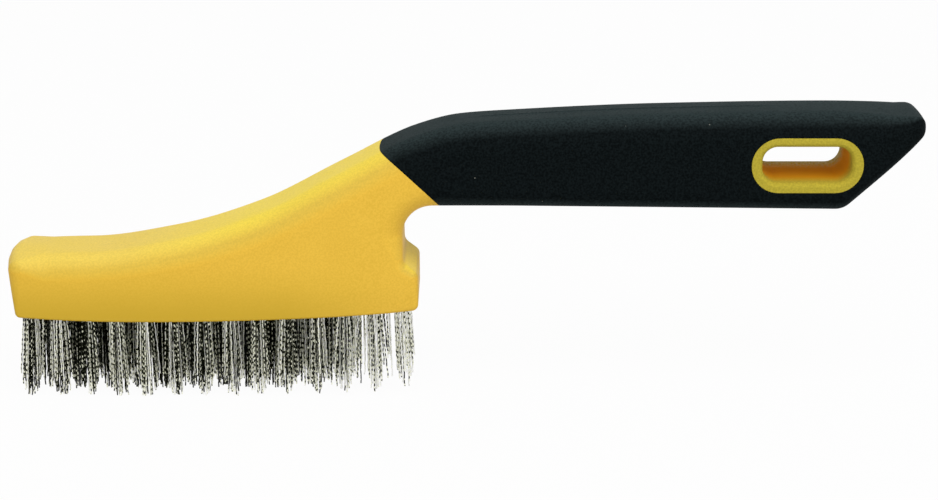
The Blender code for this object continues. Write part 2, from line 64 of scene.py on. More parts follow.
# Head
WIRE_REACH = 0.02365
TOE_THICKNESS = 0.0197
LOW_POINT = 0.0391
TOE_RISE = 0.0016
HEEL_RISE = 0.0033
TOE_LEAN = 0.0011
TOE_RADIUS = 0.0036
TOE_FOOT_RADIUS = 0.0015
TOE_BOW = 0.002
TOE_BOW_REACH = 0.022
SIDE_DRAFT = 0.001
DRAFT_RISE = 0.0109
HEEL_FOOT_RADIUS = 0.002
HEEL_LIP_RADIUS = 0.0026
HEEL_LIP_RISE = 0.0143

# Finger notch
NOTCH_DEPTH = 0.0043
NOTCH_FOOT_RISE = 0.0181
NOTCH_FOOT_RADIUS = 0.003
NOTCH_ROOF_RADIUS = 0.0084

# Handle
HANDLE_BOTTOM = 0.0573
HANDLE_DEPTH = 0.0272
CROWN_FROM_TAIL = 0.0265
SHOULDER_BEHIND_HEEL = 0.0239
SHOULDER_DROP = 0.0028
MIDDLE_DROP = 0.0007
TAIL_DROP = 0.0009
UNDERSIDE_TAIL_DROP = 0.0007
NOSE_RADIUS = 0.0035
NOSE_LEAN = math.radians(8)
CHIN_RISE = 0.852
CHIN_RADIUS = 0.0033
TAIL_CORNER_RADIUS = 0.006
TAIL_ANGLE = math.radians(43.8)
TAPER_BEFORE_HEEL = 0.0315
TAPER_BEHIND_HEEL = 0.0285
TAIL_ROUNDING = 0.014
TAIL_NARROWING = 0.45
NECK_START = 0.0219
NECK_LENGTH_SHARES = (0.00, 0.22, 0.42, 0.62, 0.8, 0.9, 1.00)
NECK_RISE_SHARES = (0.000, 0.098, 0.292, 0.612, 0.892, 0.974, 1.000)

# Rounding of the long edges
TOE_EDGE = 0.0045
BACK_EDGE = 0.007
HANDLE_EDGE = 0.008
LOWER_EDGE = 0.006
UNDERSIDE_EDGE = 0.0008
HEEL_EDGE = 0.0014
LIP_EDGE = 0.0022
NOTCH_EDGE = 0.003
NOTCH_ROOF_EDGE = 0.0066
TAIL_EDGE = 0.005
TIGHT_SHARE = 0.9
BACK_CROWN = 0.0004
TOE_DROOP = 0.0016

# Soft grip sleeve
GRIP_WALL = 0.0028
PARTING_BEHIND_HEEL = 0.008
PARTING_ANGLE = math.radians(43.5)
PARTING_BOW = 0.0029
CORE_START_INSET = 0.018
FIT_GAP = 0.0001
SEAM_START = 0.129
SEAM_END = 0.224
SEAM_FADE = 0.012

# Hanging eyelet
EYELET_FROM_TAIL = 0.0337
EYELET_LENGTH = 0.0313
EYELET_HEIGHT = 0.0158
RING_END_WALL = 0.00315
RING_SIDE_WALL = 0.00275
SLOT_RADIUS = 0.0042
SLOT_LIP = 0.0018

# Holes of the wire tufts
TUFT_ROWS = 4
TUFTS_PER_ROW = 14
TOE_MARGIN = 0.0067
HEEL_MARGIN = 0.0047
SIDE_MARGIN = 0.0046
HOLE_RADIUS = 0.0023
HOLE_DEPTH = 0.01

# Wires. A zone runs along X, or in from the sides, from its first trace to its full strength
TIP_OVERRUN = 0.0017
TOE_FAN = 0.001
TOE_FAN_ZONE = (-0.109, -0.123)
HEEL_FAN = 0.0006
HEEL_FAN_ZONE = (-0.034, -0.024)
THINNING_ZONE = (-0.035, -0.029)
FULL_ROW_THINNING = 0.6
# Zone of the painted shade on the wires at the toe
DARK_TOE_ZONE = (-0.09, -0.116)
# Zone of the painted shade on the two inner rows
INNER_ROWS_ZONE = (0.0075, 0.0055)
# Pitch and shift of the painted glints down the wires
GLINT_PITCH = 0.0015
GLINT_SHIFT = 60.0
DRAWN_OUT = (1, 1, 0.35)
SEED_STEP = 100
WIDENING_POWER = 0.7
WILD_POWER = 3.0
UNEVEN_POWER = 1.5
GOLDEN_ANGLE = math.pi * (3 - math.sqrt(5))

# Tones of the wires, from 0 to 1: what adds to them, and where one colour gives way to the next
WIRE_TONE = 0.66
STREAK_TONE = 0.3
# Share of the painted glints in the tone
GLINT_TONE = 0.14
# Painted highlight on the thinned wires at the heel
THINNED_TONE = 0.45
# Painted shade on the wires at the toe
TOE_TONE = -0.2
# Painted shade on the inner rows
INNER_TONE = -0.12
DARK_TO_GREY = (0.355, 0.4)
GREY_TO_BRIGHT = (0.4, 0.46)
BRIGHT_TO_POLISHED = (0.56, 0.72)

# Zones of the yellow plastic along, across and up the brush
# Where the painted light on the top turns brighter along the neck
NECK_ZONE = (-0.095, -0.06)
# Painted shade at the head's foot: where it fades out towards the heel, and how far up it reaches
FOOT_ZONE = (-0.016, -0.05)
FOOT_RISE = (0.041, 0.026)
# Where the painted shade on the eyelet ring starts
RING_ZONE = (0.066, 0.072)
# Where the painted shade deep inside the slot starts
SLOT_DEPTH = (0.01, 0.005)
# Where the painted highlight on the slot's far lip starts
SLOT_BACK = (0.003, 0.0085)

# How far a face looks up, from -1 to 1, where painted light or shade starts and where it is full
TURNED_FACING = (0.1, 0.45)
TOP_FACING = (0.5, 0.88)
# Where the painted sheen on the grip's top and the painted bounce light under it start
GRIP_TOP_FACING = (0.5, 0.97)
GRIP_FOOT_FACING = (-0.35, -0.7)

# Noises: waves per metre, detail, and the two levels that count as 0 and 1
MOTTLE = (60, 4, 0.35, 0.65)
PLASTIC_GRAIN = (1800, 3, 0.38, 0.62)
PLASTIC_PATCHES = (220, 5, 0.3, 0.7)
# Mottling of the painted highlight on the slot's far lip
LIP_HIGHLIGHT_NOISE = (1400, 2, 0.35, 0.65)
GRIP_GRAIN = (1700, 3, 0.38, 0.62)
GRIP_PATCHES = (90, 4, 0.3, 0.7)
STREAKS = (1500, 2, 0.35, 0.65)
FLOOR_CLOUDS = (8, 3, 0.3, 0.7)

# Fine skins: waves per metre, detail, strength and height
PLASTIC_SKIN = (1500, 2, 0.4, 0.00005)
GRIP_SKIN = (2400, 3, 0.5, 0.00006)

# Amounts in the finishes
MOTTLE_SHARE = 0.25
TOP_GRAIN = 0.1
FOOT_AMOUNT = 0.9
RING_GRAIN_LEVEL = 0.8
RING_ROUGHNESS = 0.5
GRIP_GRAIN_LEVEL = 2.4
# Strength of the painted bounce light under the grip, and how the painted sheen swings with the
# grain
GRIP_FOOT_AMOUNT = 0.5
SHEEN_SWING = 0.7
PATCH_SWING = 0.1
STREAK_SWING = 0.12
SPECK_CELLS = 260.0
SPECK_RADIUS = 0.05
SPECK_CHANCE = 0.12
PLASTIC_SPECULAR = 0.05
GRIP_SPECULAR = 0.01

# Stage
FLOOR_REACH = 4.0
FLOOR_SHADE = 0.985
LAMP_SIZE = 1.2
LAMP_TARGET = (0, 0, 0.05)
KEY_PLACE = (0.15, -0.9, 1.5)
FILL_PLACE = (0.9, -1.2, 0.7)
CAMERA_PLACE = (0.002, -0.6063, 0.2407)
CAMERA_TILT = math.radians(71.8)

# Fineness of the meshes
ARC_STEPS = 12
NECK_STEPS = 9
EDGE_STEPS = 9
ACROSS_STEPS = 4
TAPER_CUTS = 14
DRAFT_CUTS = 6
TAIL_CUTS = 12
PARTING_STEPS = 16
LIP_STEPS = 6
HOLE_SIDES = 20
OVERRUN = 0.004
END_FLAT = 0.0001
SAME_PLACE = 0.00002
SHARP_ANGLE = math.radians(38)

# Places worked out from the sizes above
CROWN_HEIGHT = HANDLE_BOTTOM + HANDLE_DEPTH
SHOULDER_HEIGHT = CROWN_HEIGHT - SHOULDER_DROP
SHOULDER = HEAD_LENGTH + SHOULDER_BEHIND_HEEL
TAIL_TOP = CROWN_HEIGHT - TAIL_DROP
TAIL_BOTTOM = HANDLE_BOTTOM - UNDERSIDE_TAIL_DROP
EYELET_MIDDLE = (TAIL_TOP + TAIL_BOTTOM) / 2
TAPER_START = HEAD_LENGTH - TAPER_BEFORE_HEEL
TAPER_END = HEAD_LENGTH + TAPER_BEHIND_HEEL
PARTING_FOOT = HEAD_LENGTH + PARTING_BEHIND_HEEL
TOE_TOP = WIRE_REACH + TOE_THICKNESS
HALF_LENGTH = BRUSH_LENGTH / 2


def setting(kind, name, description, default, **rules):
    return kind(name=name, description=description, default=default, **rules)


def length(*words):
    return setting(FloatProperty, *words, min=0.0, precision=5, subtype="DISTANCE")


def share(*words):
    return setting(FloatProperty, *words, min=0.0, max=1.0, subtype="FACTOR")


def colour(*words):
    return setting(FloatVectorProperty, *words, size=3, min=0, max=1, subtype="COLOR")


class BodySettings(PropertyGroup):
    """Sizes and finish of the yellow moulding."""

    seam: length("Shut-off ridge", "Height of the fine ridge round the slot's inside", 0.00005)
    seam_width: length("Ridge width", "Half the width of that ridge", 0.0003)
    plastic: colour("Plastic", "Colour of the moulding", (0.865, 0.545, 0.066))
    plastic_deep: colour("Deeper plastic", "Colour of its faint mottling", (0.78, 0.475, 0.050))
    # Painted light: the faces that look up are paler, and the top of the neck brighter still
    lit_top: colour("Faded plastic", "Colour of the faces that look up", (0.851, 0.627, 0.110))
    lit_neck_top: colour("Neck", "Colour of the top of the neck", (0.915, 0.705, 0.084))
    # Painted shade on the rounding between the side and the top
    rounding_shade: colour("Turned edge", "Colour of the edge below the top", (0.750, 0.508, 0.070))
    # Painted shade, darker towards the head's foot above the wires
    foot_shade: colour("Foot tint", "Colour towards the head's foot", (0.645, 0.418, 0.036))
    # Painted shade: the eyelet ring darker and greener than the rest of the moulding
    ring_shade: colour("Ring tint", "Colour of the eyelet ring", (0.50, 0.405, 0.042))
    # Painted highlight: pale and mottled on the far lip of the slot
    lip_highlight: colour("Scuff", "Colour of the scuffed back of the slot", (0.62, 0.52, 0.30))
    # Painted shade, orange-brown deep inside the slot
    slot_shade: colour("Slot tint", "Colour deep inside the slot", (0.76, 0.36, 0.010))
    roughness: share("Roughness", "Roughness of the moulding", 0.42)


class GripSettings(PropertyGroup):
    """Sizes and finish of the black soft grip."""

    seam: length("Mould seam", "Height of the mould seam along the back", 0.00016)
    seam_width: length("Seam width", "Half the width of the mould seam", 0.00035)
    rubber: colour("Rubber", "Colour of the grip", (0.0025, 0.0038, 0.0041))
    # Painted light: a sheen on the faces that look up, and bounce light on those that look down
    painted_sheen: colour("Bloom", "Colour of the faces that look up or down", (0.0240, 0.035, 0.036))
    dust: colour("Dust", "Colour of the few pale specks on it", (0.16, 0.16, 0.14))
    roughness: share("Roughness", "Roughness of the grip", 0.55)


class WireSettings(PropertyGroup):
    """Sizes and finish of the crimped wires."""

    wires: setting(IntProperty, "Wires", "Wires in each tuft", 36, min=8, max=60)
    bends: setting(IntProperty, "Points", "Points along each wire", 20, min=8, max=40)
    diameter: length("Wire diameter", "Thickness of one wire", 0.00042)
    root_depth: length("Root depth", "Reach of the wires into their holes", 0.0025)
    crimp_length: length("Crimp length", "Length of one wave of the crimp", 0.0036)
    crimp_depth: length("Crimp depth", "How far the crimp swings to each side", 0.00010)
    scatter: length("Tip scatter", "How unevenly the tips end", 0.0011)
    point: length("Point", "How much shorter the outer wires of a tuft are", 0.0082)
    stray: length("Stray", "How far the wildest tips lean away", 0.0016)
    spread: setting(FloatProperty, "Spread", "Width of a tuft's tips over its root", 1.55, min=1)
    thinning: share("Thinning", "Share of the wires missing at the heel", 0.88)
    seed: setting(IntProperty, "Seed", "Seed of the chance in the wires", 11)
    dark: colour("Dark steel", "Colour of the darkest wires", (0.006, 0.007, 0.0035))
    middle: colour("Grey steel", "Colour of the grey wires", (0.20, 0.212, 0.132))
    bright: colour("Bright steel", "Colour of the bright wires", (1.0, 1.0, 0.81))
    polished: colour("Polished steel", "Colour of the brightest wires", (1.0, 1.0, 0.96))
    roughness: share("Roughness", "Roughness of the wires", 0.30)


class StageSettings(PropertyGroup):
    """The floor, the lamps and the camera."""

    floor: colour("Floor", "Colour of the floor", (0.72, 0.72, 0.72))
    floor_white: share("Floor whiteness", "How far the floor shows plain white", 0.96)
    sky: setting(FloatProperty, "Sky", "Strength of the even light all round", 0.50, min=0)
    key: setting(FloatProperty, "Key lamp", "Power of the large soft lamp", 19.0, min=0)
    fill: setting(FloatProperty, "Fill lamp", "Power of the lamp beside the camera", 3.0, min=0)
    camera_place: setting(
        FloatVectorProperty, "Camera place", "Where it stands", CAMERA_PLACE, size=3, precision=5
    )
    camera_tilt: setting(
        FloatProperty, "Camera tilt", "Turn up from straight down", CAMERA_TILT, subtype="ANGLE"
    )
    lens: setting(FloatProperty, "Lens", "Focal length", 84.74, min=10, unit="CAMERA")


def blend(first, second, portion):
    return first + (second - first) * portion


def eased(portion):
    portion = min(max(portion, 0), 1)
    return portion * portion * (3 - 2 * portion)


def along(distance):
    """X of a point at this distance from the toe."""
    return distance - HALF_LENGTH


def underside(distance):
    """Height of the head's underside."""
    if distance < LOW_POINT:
        rise, portion = TOE_RISE, 1 - distance / LOW_POINT
    else:
        rise, portion = HEEL_RISE, (distance - LOW_POINT) / (HEAD_LENGTH - LOW_POINT)
    return WIRE_REACH + rise * portion * portion


def steady_slope(before, after):
    """The slope at a knot, with no rise past the knots."""
    if before * after <= 0:
        return 0
    return 2 * before * after / (before + after)


def smooth_line(knots):
    """Points of a smooth curve through knots of (distance, height, edge radius)."""
    knots = [Vector(knot) for knot in knots]
    runs = [(end - start) / (end.x - start.x) for start, end in zip(knots, knots[1:])]
    slopes = [runs[0]]
    for before, after in zip(runs, runs[1:]):
        slopes.append(Vector([steady_slope(*pair) for pair in zip(before, after)]))
    slopes.append(runs[-1])
    points = []
    for start, end, rise, fall in zip(knots, knots[1:], slopes, slopes[1:]):
        third = (end.x - start.x) / 3
        handles = (start + rise * third, end - fall * third)
        points += interpolate_bezier(start, *handles, end, NECK_STEPS + 1)[:-1]
    return [*points, knots[-1]]


def rounded_corner(before, corner, after, radius):
    """The arc that rounds a corner of an outline. It keeps the corner's edge radius."""
    place = corner.xy
    back = (before.xy - place).normalized()
    ahead = (after.xy - place).normalized()
    half_angle = back.angle(ahead) / 2
    reach = radius / math.tan(half_angle)
    centre = place + (back + ahead).normalized() * (radius / math.sin(half_angle))
    first = (place + back * reach - centre).normalized()
    last = (place + ahead * reach - centre).normalized()
    shares = [step / ARC_STEPS for step in range(ARC_STEPS + 1)]
    arc = [centre + first.slerp(last, part) * radius for part in shares]
    return [Vector((*point, corner.z)) for point in arc]


def rounded_outline(corners):
    """Points of a closed outline, from corners of (distance, height, edge radius) and the
    radius that rounds each one in the side view."""
    places = [Vector(place) for place, radius in corners]
    points = []
    for index, (place, radius) in enumerate(corners):
        if radius:
            after = places[(index + 1) % len(places)]
            points += rounded_corner(places[index - 1], places[index], after, radius)
        else:
            points.append(places[index])
    return points


def head_corners():
    """Corners of the head and the finger notch, from the toe's foot to the notch's roof."""
    notch_wall = HEAD_LENGTH - NOTCH_DEPTH
    gaps = [tuft_distance(line + 1 / 2) for line in range(TUFTS_PER_ROW - 1)]
    return [
        ((TOE_LEAN, underside(TOE_LEAN), UNDERSIDE_EDGE), TOE_FOOT_RADIUS),
        *(((gap, underside(gap), UNDERSIDE_EDGE), 0) for gap in gaps),
        ((HEAD_LENGTH, underside(HEAD_LENGTH), HEEL_EDGE), HEEL_FOOT_RADIUS),
        ((HEAD_LENGTH, WIRE_REACH + HEEL_LIP_RISE, LIP_EDGE), HEEL_LIP_RADIUS),
        ((notch_wall, WIRE_REACH + NOTCH_FOOT_RISE, NOTCH_EDGE), NOTCH_FOOT_RADIUS),
        ((notch_wall, HANDLE_BOTTOM, NOTCH_ROOF_EDGE), NOTCH_ROOF_RADIUS),
    ]


def tail_corners(inset):
    """Corners of the handle's tail drawn in by the inset: its foot, its chin and its nose."""
    chin_height = blend(TAIL_BOTTOM, TAIL_TOP, CHIN_RISE)
    chin = Vector((BRUSH_LENGTH - CHIN_RADIUS, chin_height))
    slope_normal = Vector((math.sin(TAIL_ANGLE), -math.cos(TAIL_ANGLE)))
    nose_normal = Vector((math.cos(NOSE_LEAN), math.sin(NOSE_LEAN)))
    both = (slope_normal + nose_normal) / (1 + slope_normal.dot(nose_normal))
    corner = chin + both * (CHIN_RADIUS - inset)
    foot = TAIL_BOTTOM + inset
    foot_place = corner.x + (foot - corner.y) / math.tan(TAIL_ANGLE)
    top = TAIL_TOP - inset
    top_place = corner.x - (top - corner.y) * math.tan(NOSE_LEAN)
    tail = []
    for place, height, radius in (
        (foot_place, foot, TAIL_CORNER_RADIUS),
        (corner.x, corner.y, CHIN_RADIUS),
        (top_place, top, NOSE_RADIUS),
    ):
        radius = radius - inset
        edge = min(TAIL_EDGE - inset, TIGHT_SHARE * radius)
        tail.append(((place, height, edge), radius))
    return tail


def back_line():
    """Points along the back from the tail to the toe."""
    knots = [(TOE_RADIUS * 3, TOE_TOP, BACK_EDGE)]
    for length_share, rise_share in zip(NECK_LENGTH_SHARES, NECK_RISE_SHARES):
        distance = blend(NECK_START, SHOULDER, length_share)
        height = blend(TOE_TOP, SHOULDER_HEIGHT, rise_share)
        knots.append((distance, height, blend(BACK_EDGE, HANDLE_EDGE, length_share)))
    crown = BRUSH_LENGTH - CROWN_FROM_TAIL
    middle = (SHOULDER + crown) / 2
    knots += [
        (middle, CROWN_HEIGHT - MIDDLE_DROP, HANDLE_EDGE),
        (crown, CROWN_HEIGHT, HANDLE_EDGE),
        (BRUSH_LENGTH - NOSE_RADIUS * 2, TAIL_TOP, TAIL_EDGE),
    ]
    return smooth_line(knots)[::-1]


def brush_outline():
    """The side view of the whole brush, head and handle."""
    lean_angle = math.pi / 2 - math.atan(TOE_LEAN / TOE_THICKNESS)
    toe_reach = TOE_RADIUS / math.tan(lean_angle / 2) - TOE_RADIUS
    toe_edge = min(TOE_EDGE, TIGHT_SHARE * TOE_RADIUS)
    corners = [
        *head_corners(),
        ((TAPER_END, HANDLE_BOTTOM, LOWER_EDGE), 0),
        *tail_corners(0),
        *((point, 0) for point in back_line()),
        ((-toe_reach, TOE_TOP, toe_edge), TOE_RADIUS),
    ]
    return rounded_outline(corners)


def inward_normals(outline):
    """For each point of an outline, the step that moves both its sides inwards by one."""
    steps = []
    for index, point in enumerate(outline):
        back = (point.xy - outline[index - 1].xy).normalized()
        ahead = (outline[(index + 1) % len(outline)].xy - point.xy).normalized()
        tangent = (back + ahead).normalized()
        steps.append(Vector((-tangent.y, tangent.x)) / tangent.dot(ahead))
    return steps


def lofted(rings):
    """A closed solid through rings of points, with flat faces on the first and the last."""
    builder = bmesh.new()
    rings = [[builder.verts.new(point) for point in ring] for ring in rings]
    for first, second in zip(rings, rings[1:]):
        for index in range(len(first)):
            after = (index + 1) % len(first)
            builder.faces.new((first[index], first[after], second[after], second[index]))
    builder.faces.new(rings[0])
    builder.faces.new(rings[-1])
    return builder


def edge_rounded_plate(outline, width, seam_height=0.0, seam_width=0.0):
    """A plate of this outline, whose long edges are rounded by each point's edge radius. A fine
    mould seam may run along the middle of its back."""
    normals = inward_normals(outline)
    turns = [math.pi / 2 * step / EDGE_STEPS for step in range(EDGE_STEPS + 1)]
    side = [(1, turn, None) for turn in turns[1:]]
    flat = [(2 * step / ACROSS_STEPS - 1, 0, None) for step in range(ACROSS_STEPS + 1)]
    if seam_height:
        middle = len(flat) // 2
        flat[middle : middle + 1] = [(0, 0, place) for place in (-1, -0.5, 0, 0.5, 1)]
    stations = [(-1, turn, None) for turn in reversed(turns[1:])] + flat + side
    rings = []
    for across, turn, seam in stations:
        ring = []
        for point, normal in zip(outline, normals):
            place = point.xy + normal * (point.z * (1 - math.cos(turn)))
            depth = across * (width / 2 - point.z * (1 - math.sin(turn)))
            if seam is not None:
                fade_in = eased((point.x - SEAM_START) / SEAM_FADE)
                fade_out = eased((SEAM_END - point.x) / SEAM_FADE)
                on_back = fade_in * fade_out * (point.y > EYELET_MIDDLE)
                place = place - normal * (seam_height * on_back * (1 - eased(abs(seam))))
                depth = seam * seam_width
            ring.append((along(place.x), depth, place.y))
        rings.append(ring)
    return lofted(rings)


def bow_and_crown(builder):
    """Bows the toe outwards and crowns the back a little, both highest along the middle."""
    middle = WIRE_REACH + TOE_THICKNESS / 2
    for vertex in builder.verts:
        across = (2 * vertex.co.y / HEAD_WIDTH) ** 2
        near_toe = eased(1 - (vertex.co.x + HALF_LENGTH) / TOE_BOW_REACH)
        near_back = eased((vertex.co.z - middle) / (TOE_THICKNESS / 2))
        vertex.co.x += TOE_BOW * across * near_toe
        vertex.co.z -= (BACK_CROWN + TOE_DROOP * near_toe) * across * near_back


def placed(name, data):
    """A new object in the scene, at the origin."""
    item = bpy.data.objects.new(name, data)
    bpy.context.scene.collection.objects.link(item)
    return item


def cut_across(builder, place, direction):
    everything = builder.verts[:] + builder.edges[:] + builder.faces[:]
    bmesh.ops.bisect_plane(
        builder, geom=everything, dist=SAME_PLACE, plane_co=place, plane_no=direction
    )


def draw_in_lower_sides(builder):
    """Leans the lower part of the head's sides inwards, more and more down to the underside."""
    top = WIRE_REACH + DRAFT_RISE
    for cut in range(DRAFT_CUTS):
        height = top - DRAFT_RISE * cut / DRAFT_CUTS
        cut_across(builder, (0, 0, height), (0, 0, 1))
    for vertex in builder.verts:
        low = max(top - vertex.co.z, 0) / DRAFT_RISE
        vertex.co.y *= 1 - low**1.5 * 2 * SIDE_DRAFT / HEAD_WIDTH


def round_tail(builder):
    """Rounds the tail as seen from above, by drawing its sides in towards the end."""
    start = BRUSH_LENGTH - TAIL_ROUNDING
    for cut in range(TAIL_CUTS):
        distance = start + TAIL_ROUNDING * math.sin(math.pi / 2 * cut / TAIL_CUTS)
        cut_across(builder, (along(distance), 0, 0), (1, 0, 0))
    for vertex in builder.verts:
        portion = (vertex.co.x + HALF_LENGTH - start) / TAIL_ROUNDING
        portion = min(max(portion, 0), 1)
        vertex.co.y *= 1 - TAIL_NARROWING * (1 - math.sqrt(1 - portion * portion))


def taper_width(builder):
    """Draws the sides in from the head's width to the handle's width, along the neck."""
    for cut in range(TAPER_CUTS + 1):
        distance = blend(TAPER_START, TAPER_END, cut / TAPER_CUTS)
        cut_across(builder, (along(distance), 0, 0), (1, 0, 0))
    for vertex in builder.verts:
        distance = vertex.co.x + HALF_LENGTH
        portion = eased((distance - TAPER_START) / (TAPER_END - TAPER_START))
        vertex.co.y *= blend(1, HANDLE_WIDTH / HEAD_WIDTH, portion)


def new_object(name, builder):
    """An object in the scene from a mesh builder, with its faces turned outwards."""
    mesh = bpy.data.meshes.new(name)
    bmesh.ops.recalc_face_normals(builder, faces=builder.faces)
    builder.to_mesh(mesh)
    builder.free()
    return placed(name, mesh)


def brush_envelope(name, *seam):
    """The outer form of the whole brush without its wires."""
    builder = edge_rounded_plate(brush_outline(), HEAD_WIDTH, *seam)
    bow_and_crown(builder)
    draw_in_lower_sides(builder)
    taper_width(builder)
    round_tail(builder)
    return new_object(name, builder)


def core_solid(name, inset):
    """The handle's core, which lies this far inside the grip's outer surface."""
    back = [point for point in back_line() if point.x > PARTING_FOOT - CORE_START_INSET]
    normals = inward_normals(back)
    normals[0] = normals[-1] = Vector((0, -1))
    foot = HANDLE_BOTTOM + inset
    corners = [((back[-1].x, foot, LOWER_EDGE - inset), 0), *tail_corners(inset)]
    for point, normal in zip(back, normals):
        corners.append(((*(point.xy + normal * inset), point.z - inset), 0))
    builder = edge_rounded_plate(rounded_outline(corners), HANDLE_WIDTH - 2 * inset)
    round_tail(builder)
    return new_object(name, builder)


def window_column(name, sections):
    """A column across the handle at the eyelet, lofted through rounded windows, each given as
    (place across the handle, length, height, corner radius)."""
    centre = BRUSH_LENGTH - EYELET_FROM_TAIL
    rings = []
    for across, long, high, radius in sections:
        corners = []
        for end, side in ((-1, -1), (1, -1), (1, 1), (-1, 1)):
            place = (centre + end * long / 2, EYELET_MIDDLE + side * high / 2, 0)
            corners.append((place, radius))
        rings.append([(along(point.x), across, point.y) for point in rounded_outline(corners)])
    return new_object(name, lofted(rings))


def eyelet_column(name, growth):
    """The outside of the eyelet ring, wider all round by the growth. Its ends are round."""
    reach = HANDLE_WIDTH / 2 + OVERRUN
    long = EYELET_LENGTH + 2 * growth
    high = EYELET_HEIGHT + 2 * growth
    section = (long, high, high / 2 - END_FLAT)
    return window_column(name, [(-reach, *section), (reach, *section)])


def slot_column(name, ridge, ridge_width):
    """The slot through the eyelet. It opens out at both faces with rounded lips, and leaves a
    fine ridge round its middle, where the two halves of the mould meet."""
    face = HANDLE_WIDTH / 2
    lips = []
    for step in range(LIP_STEPS + 1):
        turn = math.pi / 2 * step / LIP_STEPS
        growth = SLOT_LIP * (1 - math.cos(turn))
        lips.append((face + FIT_GAP - SLOT_LIP * (1 - math.sin(turn)), growth))
    lips.append((face + OVERRUN, SLOT_LIP))
    lips = [(ridge_width, 0), *lips]
    lips = [(-across, growth) for across, growth in reversed(lips)] + [(0, -ridge)] + lips
    long = EYELET_LENGTH - 2 * RING_END_WALL
    high = EYELET_HEIGHT - 2 * RING_SIDE_WALL
    sections = []
    for across, growth in lips:
        radius = SLOT_RADIUS + growth
        sections.append((across, long + 2 * growth, high + 2 * growth, radius))
    return window_column(name, sections)


def parting_block(name, towards_tail, shift):
    """A block on the tail's side or the head's side of the line where the grip meets the neck,
    with that line moved towards the tail by the shift."""
    foot = Vector((PARTING_FOOT, HANDLE_BOTTOM))
    foot += Vector((math.sin(PARTING_ANGLE), math.cos(PARTING_ANGLE))) * shift
    slant = Vector((math.cos(PARTING_ANGLE), -math.sin(PARTING_ANGLE))) * HALF_LENGTH
    far = Vector((BRUSH_LENGTH if towards_tail else -BRUSH_LENGTH, 0))
    corners = (foot + slant, foot - slant, foot - slant + far, foot + slant + far)
    stations = [(2 * step / PARTING_STEPS - 1, 0) for step in range(PARTING_STEPS + 1)]
    stations = [(-1, OVERRUN), *stations, (1, OVERRUN)]
    rings = []
    for portion, overrun in stations:
        bow = PARTING_BOW * (1 - portion * portion)
        across = portion * (HEAD_WIDTH / 2 + overrun)
        rings.append([(along(point.x) - bow, across, point.y) for point in corners])
    return new_object(name, lofted(rings))


def tuft_distance(line):
    """Distance from the toe to the middle of a line of tufts across the head."""
    pitch = (HEAD_LENGTH - TOE_MARGIN - HEEL_MARGIN) / (TUFTS_PER_ROW - 1)
    return TOE_MARGIN + pitch * line


def hole_mouths(row):
    """The middles of the mouths of one row's holes. Every second row stands half a pitch on."""
    row_pitch = (HEAD_WIDTH - 2 * SIDE_MARGIN) / (TUFT_ROWS - 1)
    across = SIDE_MARGIN - HEAD_WIDTH / 2 + row_pitch * row
    stagger = row % 2
    places = [tuft_distance(line + stagger / 2) for line in range(TUFTS_PER_ROW - stagger)]
    return [Vector((along(place), across, underside(place))) for place in places]


def tuft_holes(name):
    """All the blind holes in the head's underside."""
    builder = bmesh.new()
    size = {"radius1": HOLE_RADIUS, "radius2": HOLE_RADIUS, "depth": HOLE_DEPTH + OVERRUN}
    for row in range(TUFT_ROWS):
        for mouth in hole_mouths(row):
            place = Matrix.Translation(mouth + Vector((0, 0, (HOLE_DEPTH - OVERRUN) / 2)))
            bmesh.ops.create_cone(
                builder, cap_ends=True, segments=HOLE_SIDES, matrix=place, **size
            )
    return new_object(name, builder)


def settle(item):
    """Gives an object what its modifiers make as a plain mesh, and takes them off."""
    graph = bpy.context.evaluated_depsgraph_get()
    mesh = bpy.data.meshes.new_from_object(item.evaluated_get(graph), depsgraph=graph)
    mesh.name = item.name
    item.data = mesh
    item.modifiers.clear()


def cut_away(item, *tools):
    """Takes the forms of the tools out of an object, and the tools out of the scene."""
    for tool in tools:
        modifier = item.modifiers.new("less_" + tool.name, "BOOLEAN")
        modifier.operation = "DIFFERENCE"
        modifier.solver = "EXACT"
        modifier.object = tool
    settle(item)
    for tool in tools:
        bpy.data.objects.remove(tool, do_unlink=True)


def finish_piece(piece, material):
    """Gives a moulded piece its material, and even shading on its flats."""
    mesh = piece.data
    mesh.materials.clear()
    mesh.materials.append(material)
    mesh.shade_smooth()
    mesh.set_sharp_from_angle(angle=SHARP_ANGLE)
    evener = piece.modifiers.new("even_shading", "WEIGHTED_NORMAL")
    evener.mode = "FACE_AREA"
    evener.keep_sharp = True
    settle(piece)


class Nodes:
    """Short ways to add nodes to a tree."""

    def __init__(self, tree):
        self.tree = tree

    def fill(self, node, values):
        """Links or sets a node's inputs, from (socket, output or value). Colours are opaque."""
        for socket, value in values:
            socket = node.inputs[socket]
            if isinstance(value, bpy.types.NodeSocket):
                self.tree.links.new(value, socket)
            else:
                socket.default_value = (*value, 1.0) if socket.type == "RGBA" else value

    def add(self, kind, values=(), output=0, **settings):
        """Adds a node, fills its inputs and gives the chosen output."""
        node = self.tree.nodes.new(kind)
        for name, value in settings.items():
            setattr(node, name, value)
        self.fill(node, values)
        return node.outputs[output]

    def math(self, operation, *values):
        return self.add("ShaderNodeMath", enumerate(values), operation=operation)

    def times(self, total, *factors):
        for factor in factors:
            total = self.math("MULTIPLY", total, factor)
        return total

    def line(self, value, factor, start):
        """The start plus the factor times the value."""
        return self.math("MULTIPLY_ADD", value, factor, start)

    def part(self, vector, axis):
        return self.add("ShaderNodeSeparateXYZ", [(0, vector)], output=axis)


# The wires' settings up to the seed are also the inputs of the tree that grows them
WIRE_NAMES = list(WireSettings.__annotations__)
WIRE_INPUTS = WIRE_NAMES[: WIRE_NAMES.index("seed") + 1]


